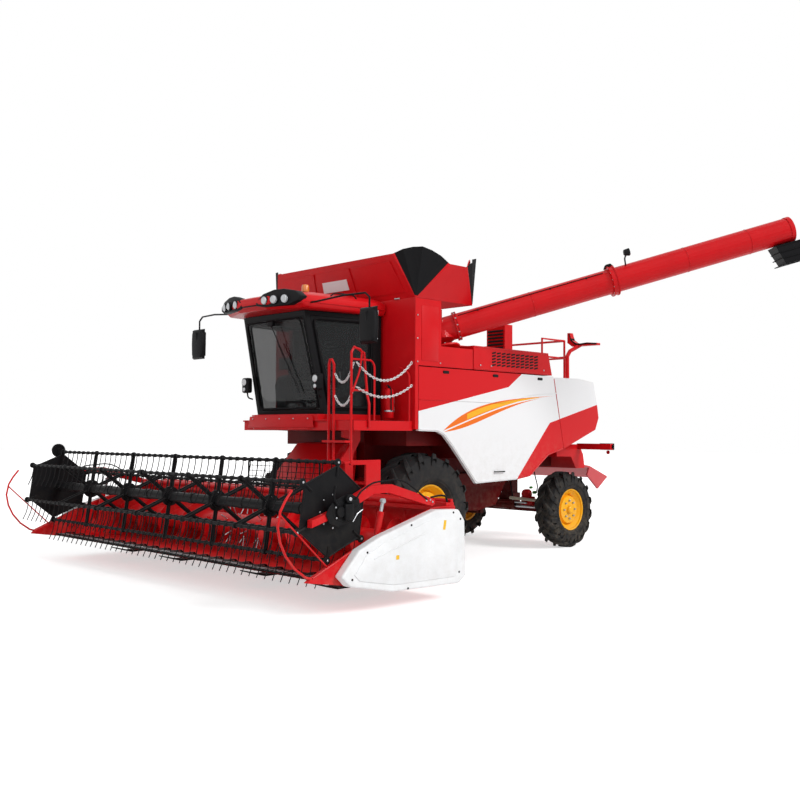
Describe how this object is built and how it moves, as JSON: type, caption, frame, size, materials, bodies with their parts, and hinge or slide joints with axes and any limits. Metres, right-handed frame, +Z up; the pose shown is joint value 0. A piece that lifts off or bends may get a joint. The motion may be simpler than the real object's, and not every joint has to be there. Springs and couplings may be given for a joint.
{
  "type": "combine harvester",
  "caption": "Self-propelled grain harvester with a wide reel header, raised cab, grain tank, swinging unloading tube, big driven front wheels and smaller steered rear wheels.",
  "frame": {"origin": "middle of the bounding box's underside, on the ground; the drive axle's ground point is at x 0.569, y -0.860", "axes": "+X forward to the header, +Y to the machine's left, +Z up"},
  "size_m": [9.183, 8.3695, 5.0936],
  "materials": {
    "red_paint": "gloss bright red machine enamel, slightly dusty",
    "dark_red_paint": "dark red chassis enamel",
    "white_paint": "gloss cool white enamel with a swept orange and yellow stripe",
    "black_paint": "semi-gloss black enamel",
    "orange_paint": "gloss yellow-orange wheel enamel",
    "bare_steel": "worn bare steel",
    "rod_chrome": "polished hard chrome",
    "cast_iron": "grey cast iron",
    "tyre_rubber": "matt black rubber with field dust",
    "soft_rubber": "thick matt black sheet rubber",
    "black_plastic": "moulded black plastic",
    "tinted_glass": "grey tinted safety glass",
    "seat_cloth": "dark grey woven seat cloth"
  },
  "bodies": {
    "root": {"chassis_frame": "dark_red_paint", "drive_axle": "dark_red_paint", "rear_axle": "dark_red_paint", "threshing_body": "red_paint", "grain_tank": "red_paint", "tank_extension": "red_paint", "engine_deck": "red_paint", "engine": "cast_iron", "rear_hood": "red_paint", "straw_chute": "red_paint", "rear_rail": "red_paint", "cab_frame": "black_paint", "windshield": "tinted_glass", "side_glass": "tinted_glass", "cab_roof": "red_paint", "seat": "seat_cloth", "steering_column": "black_plastic", "platform": "red_paint", "ladder": "red_paint", "mirror_left": "black_plastic", "mirror_right": "black_plastic"},
    "side_panel_left": {"side_panel_left": "white_paint"},
    "side_panel_right": {"side_panel_right": "white_paint"},
    "tailgate": {"tailgate": "white_paint"},
    "straw_deflector": {"straw_deflector": "red_paint"},
    "cab_door": {"cab_door": "black_paint", "door_glass": "tinted_glass"},
    "unloading_auger": {"unloading_auger": "red_paint", "unloading_spout": "soft_rubber"},
    "header": {"feeder_house": "red_paint", "header_trough": "red_paint", "end_shield_left": "white_paint", "end_shield_right": "white_paint"},
    "knife": {"knife_bar": "bare_steel"},
    "feed_auger": {"feed_auger": "red_paint"},
    "reel_arms": {"reel_arms": "red_paint"},
    "reel": {"reel": "black_paint"},
    "reel_rods": {"reel_rod_left": "rod_chrome", "reel_rod_right": "rod_chrome"},
    "lift_barrels": {"lift_barrel_left": "black_paint", "lift_barrel_right": "black_paint"},
    "lift_rods": {"lift_rod_left": "rod_chrome", "lift_rod_right": "rod_chrome"},
    "steering_rod": {"steering_rod": "rod_chrome"},
    "tine_bar_1": {"tine_bar_1": "black_paint"},
    "tine_bar_2": {"tine_bar_2": "black_paint"},
    "tine_bar_3": {"tine_bar_3": "black_paint"},
    "tine_bar_4": {"tine_bar_4": "black_paint"},
    "tine_bar_5": {"tine_bar_5": "black_paint"},
    "tine_bar_6": {"tine_bar_6": "black_paint"},
    "drive_wheel_left": {"drive_tyre_left": "tyre_rubber", "drive_rim_left": "orange_paint"},
    "steer_wheel_left": {"steer_tyre_left": "tyre_rubber", "steer_rim_left": "orange_paint"},
    "knuckle_left": {"knuckle_left": "dark_red_paint"},
    "drive_wheel_right": {"drive_tyre_right": "tyre_rubber", "drive_rim_right": "orange_paint"},
    "steer_wheel_right": {"steer_tyre_right": "tyre_rubber", "steer_rim_right": "orange_paint"},
    "knuckle_right": {"knuckle_right": "dark_red_paint"}
  },
  "joints": [
    {"name": "drive_wheel_left", "type": "hinge", "parent": "root", "child": "drive_wheel_left", "pos_m": [0.5685, 0.3653, 0.81], "axis": [0, 1, 0], "continuous": true},
    {"name": "steering_left", "type": "hinge", "parent": "root", "child": "knuckle_left", "pos_m": [-3.0215, 0.0003, 0.6325], "axis": [0, 0, 1], "range_deg": [-35, 35]},
    {"name": "steer_wheel_left", "type": "hinge", "parent": "knuckle_left", "child": "steer_wheel_left", "pos_m": [-3.0215, 0.3003, 0.6325], "axis": [0, 1, 0], "continuous": true},
    {"name": "side_panel_left", "type": "hinge", "parent": "root", "child": "side_panel_left", "pos_m": [-0.6315, 0.6903, 2.815], "axis": [1, 0, 0], "range_deg": [0, 75]},
    {"name": "drive_wheel_right", "type": "hinge", "parent": "root", "child": "drive_wheel_right", "pos_m": [0.5685, -2.0847, 0.81], "axis": [0, 1, 0], "continuous": true},
    {"name": "steering_right", "type": "hinge", "parent": "root", "child": "knuckle_right", "pos_m": [-3.0215, -1.7197, 0.6325], "axis": [0, 0, 1], "range_deg": [-35, 35]},
    {"name": "steer_wheel_right", "type": "hinge", "parent": "knuckle_right", "child": "steer_wheel_right", "pos_m": [-3.0215, -2.0197, 0.6325], "axis": [0, 1, 0], "continuous": true},
    {"name": "side_panel_right", "type": "hinge", "parent": "root", "child": "side_panel_right", "pos_m": [-0.6315, -2.4097, 2.815], "axis": [-1, 0, 0], "range_deg": [0, 75]},
    {"name": "steering_rod", "type": "slide", "parent": "root", "child": "steering_rod", "axis": [0, 1, 0], "range_m": [-0.135, 0.135]},
    {"name": "header_lift", "type": "hinge", "parent": "root", "child": "header", "pos_m": [1.1885, -0.8597, 1.62], "axis": [0, -1, 0], "range_deg": [-4, 22]},
    {"name": "lift_barrels", "type": "hinge", "parent": "root", "child": "lift_barrels", "pos_m": [0.8385, -0.8597, 0.52], "axis": [0, -1, 0], "range_deg": [-2.66, 13.29]},
    {"name": "lift_rods", "type": "slide", "parent": "lift_barrels", "child": "lift_rods", "axis": [0.9979, 0, -0.0648], "range_m": [-0.0793, 0.4181]},
    {"name": "knife_stroke", "type": "slide", "parent": "header", "child": "knife", "axis": [0, 1, 0], "range_m": [-0.038, 0.038]},
    {"name": "feed_auger_turn", "type": "hinge", "parent": "header", "child": "feed_auger", "pos_m": [2.6185, -0.8597, 0.63], "axis": [0, 1, 0], "continuous": true},
    {"name": "reel_lift", "type": "hinge", "parent": "header", "child": "reel_arms", "pos_m": [2.4285, -0.8597, 1.115], "axis": [0, -1, 0], "range_deg": [0, 20]},
    {"name": "reel_turn", "type": "hinge", "parent": "reel_arms", "child": "reel", "pos_m": [3.8285, -0.8597, 1.09], "axis": [0, 1, 0], "continuous": true},
    {"name": "tine_bar_1", "type": "hinge", "parent": "reel", "child": "tine_bar_1", "pos_m": [4.22645, -0.8597, 1.40091], "axis": [0, 1, 0], "continuous": true},
    {"name": "tine_bar_2", "type": "hinge", "parent": "reel", "child": "tine_bar_2", "pos_m": [3.75822, -0.8597, 1.59009], "axis": [0, 1, 0], "continuous": true},
    {"name": "tine_bar_3", "type": "hinge", "parent": "reel", "child": "tine_bar_3", "pos_m": [3.36027, -0.8597, 1.27918], "axis": [0, 1, 0], "continuous": true},
    {"name": "tine_bar_4", "type": "hinge", "parent": "reel", "child": "tine_bar_4", "pos_m": [3.43055, -0.8597, 0.77909], "axis": [0, 1, 0], "continuous": true},
    {"name": "tine_bar_5", "type": "hinge", "parent": "reel", "child": "tine_bar_5", "pos_m": [3.89878, -0.8597, 0.58991], "axis": [0, 1, 0], "continuous": true},
    {"name": "tine_bar_6", "type": "hinge", "parent": "reel", "child": "tine_bar_6", "pos_m": [4.29673, -0.8597, 0.90082], "axis": [0, 1, 0], "continuous": true},
    {"name": "reel_rods", "type": "slide", "parent": "header", "child": "reel_rods", "axis": [-0.2425, 0, 0.9701], "range_m": [-0.002, 0.2266]},
    {"name": "unloading_swing", "type": "hinge", "parent": "root", "child": "unloading_auger", "pos_m": [0.0685, 0.3003, 3.395], "axis": [0, -0.3141, 0.9494], "range_deg": [-50, 44]},
    {"name": "cab_door", "type": "hinge", "parent": "root", "child": "cab_door", "pos_m": [1.1685, 0.03895, 2.15], "axis": [0, 0, 1], "range_deg": [0, 75]},
    {"name": "tailgate", "type": "hinge", "parent": "root", "child": "tailgate", "pos_m": [-3.3315, -0.8597, 2.72], "axis": [0, 1, 0], "range_deg": [0, 70]},
    {"name": "straw_deflector", "type": "hinge", "parent": "root", "child": "straw_deflector", "pos_m": [-3.7015, -0.8597, 1.36], "axis": [0, 1, 0], "range_deg": [-30, 20]}
  ],
  "couplings": [
    {"joint": "steering_right", "follows": "steering_left", "ratio": 1},
    {"joint": "steering_rod", "follows": "steering_left", "m_per_rad": 0.2066},
    {"joint": "lift_barrels", "follows": "header_lift", "ratio": 0.5904},
    {"joint": "lift_rods", "follows": "header_lift", "m_per_rad": 1.0784},
    {"joint": "tine_bar_1", "follows": "reel_turn", "ratio": -1},
    {"joint": "tine_bar_2", "follows": "reel_turn", "ratio": -1},
    {"joint": "tine_bar_3", "follows": "reel_turn", "ratio": -1},
    {"joint": "tine_bar_4", "follows": "reel_turn", "ratio": -1},
    {"joint": "tine_bar_5", "follows": "reel_turn", "ratio": -1},
    {"joint": "tine_bar_6", "follows": "reel_turn", "ratio": -1},
    {"joint": "reel_rods", "follows": "reel_lift", "m_per_rad": 0.6378}
  ]
}
